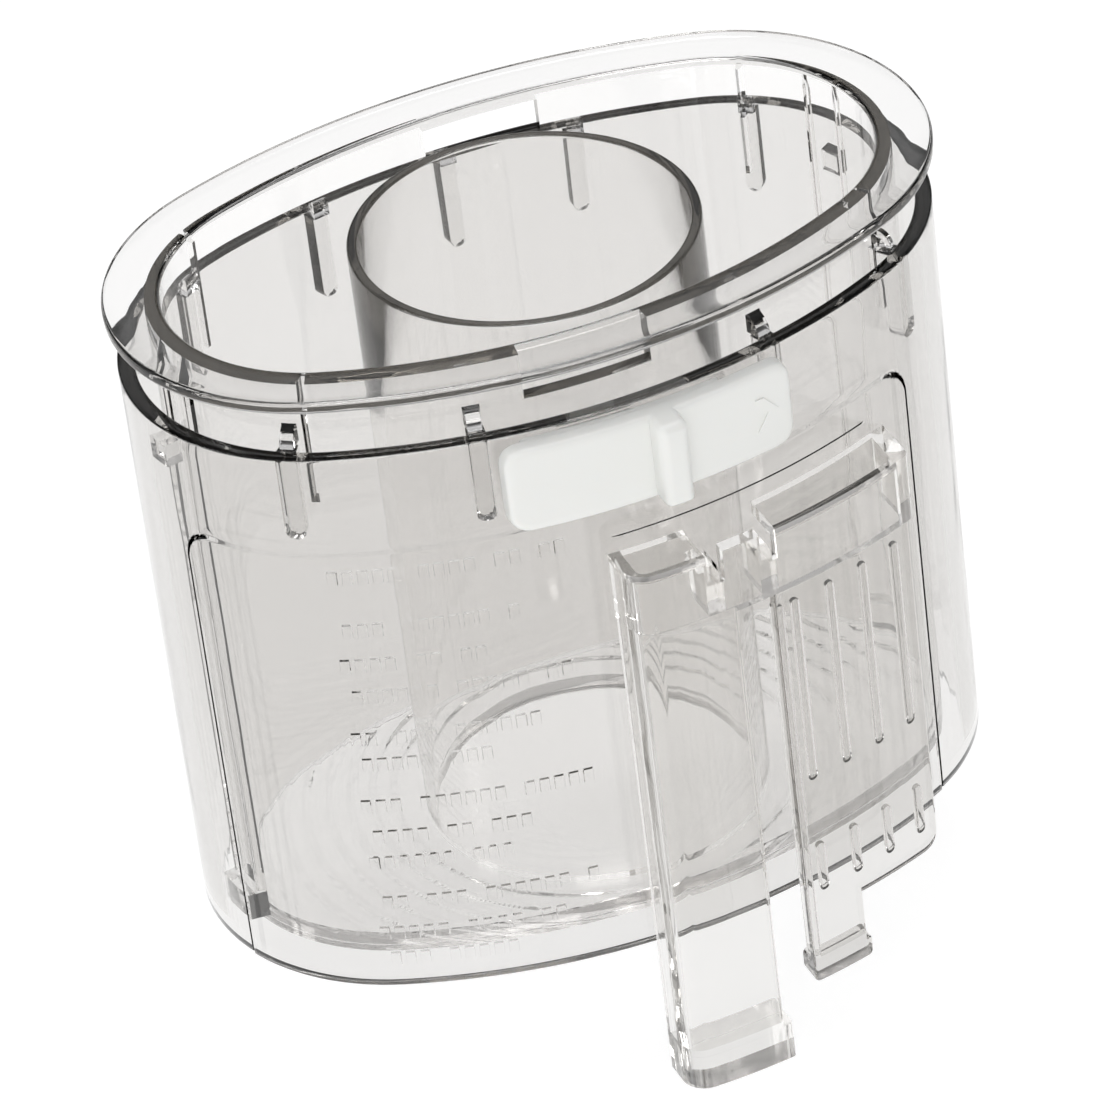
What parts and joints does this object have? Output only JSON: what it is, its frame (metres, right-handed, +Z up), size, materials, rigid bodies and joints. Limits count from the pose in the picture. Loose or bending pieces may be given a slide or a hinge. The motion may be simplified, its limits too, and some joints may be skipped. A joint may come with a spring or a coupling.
{
  "type": "food processor pusher and sleeve",
  "caption": "Clear oval feed pusher with a round inner feed tube, sliding in an oval sleeve with a white lock slide, a long interlock leg and a sprung latch lever.",
  "frame": {"origin": "centre of the sleeve's open bottom, on the plane of its lower rim", "axes": "+Z up along the round feed tube, +X along the long axis of the oval, -Y towards the lock slide, leg and lever"},
  "size_m": [0.1384, 0.0958, 0.1414],
  "materials": {
    "clear_sleeve": "clear polished, faint warm grey",
    "clear_bracket": "clear polished",
    "clear_pusher": "clear polished",
    "clear_tube": "clear polished, faint warm grey",
    "white_lock": "satin white",
    "clear_lever": "clear polished"
  },
  "bodies": {
    "sleeve": {"sleeve_shell": "clear_sleeve", "front_panel": "clear_sleeve", "guide_ribs": "clear_sleeve", "end_stops": "clear_sleeve", "sleeve_bracket": "clear_bracket", "interlock_leg": "clear_bracket", "interlock_foot": "clear_bracket"},
    "pusher": {"pusher_wall": "clear_pusher", "pusher_flange": "clear_pusher", "pusher_floor": "clear_pusher", "feed_tube": "clear_tube", "rest_lugs": "clear_pusher", "keeper_lugs": "clear_pusher", "lock_catch": "clear_pusher"},
    "lock": {"lock_slide": "white_lock", "lock_tongue": "white_lock"},
    "lever": {"latch_lever": "clear_lever", "latch_ribs": "clear_lever"}
  },
  "joints": [
    {"name": "pusher_lift", "type": "slide", "parent": "sleeve", "child": "pusher", "axis": [0, 0, 1], "range_m": [0, 0.0845]},
    {"name": "lock_turn", "type": "hinge", "parent": "sleeve", "child": "lock", "pos_m": [0, 0.0646, 0.096], "axis": [0, 0, 1], "range_deg": [0, 6.18]},
    {"name": "lever_press", "type": "hinge", "parent": "sleeve", "child": "lever", "pos_m": [0.0297, -0.04732, 0.0641], "axis": [0.9665, 0.2565, 0], "range_deg": [0, 3.5], "stiffness_Nm_per_rad": 0.25, "springref_deg": -4.58}
  ]
}
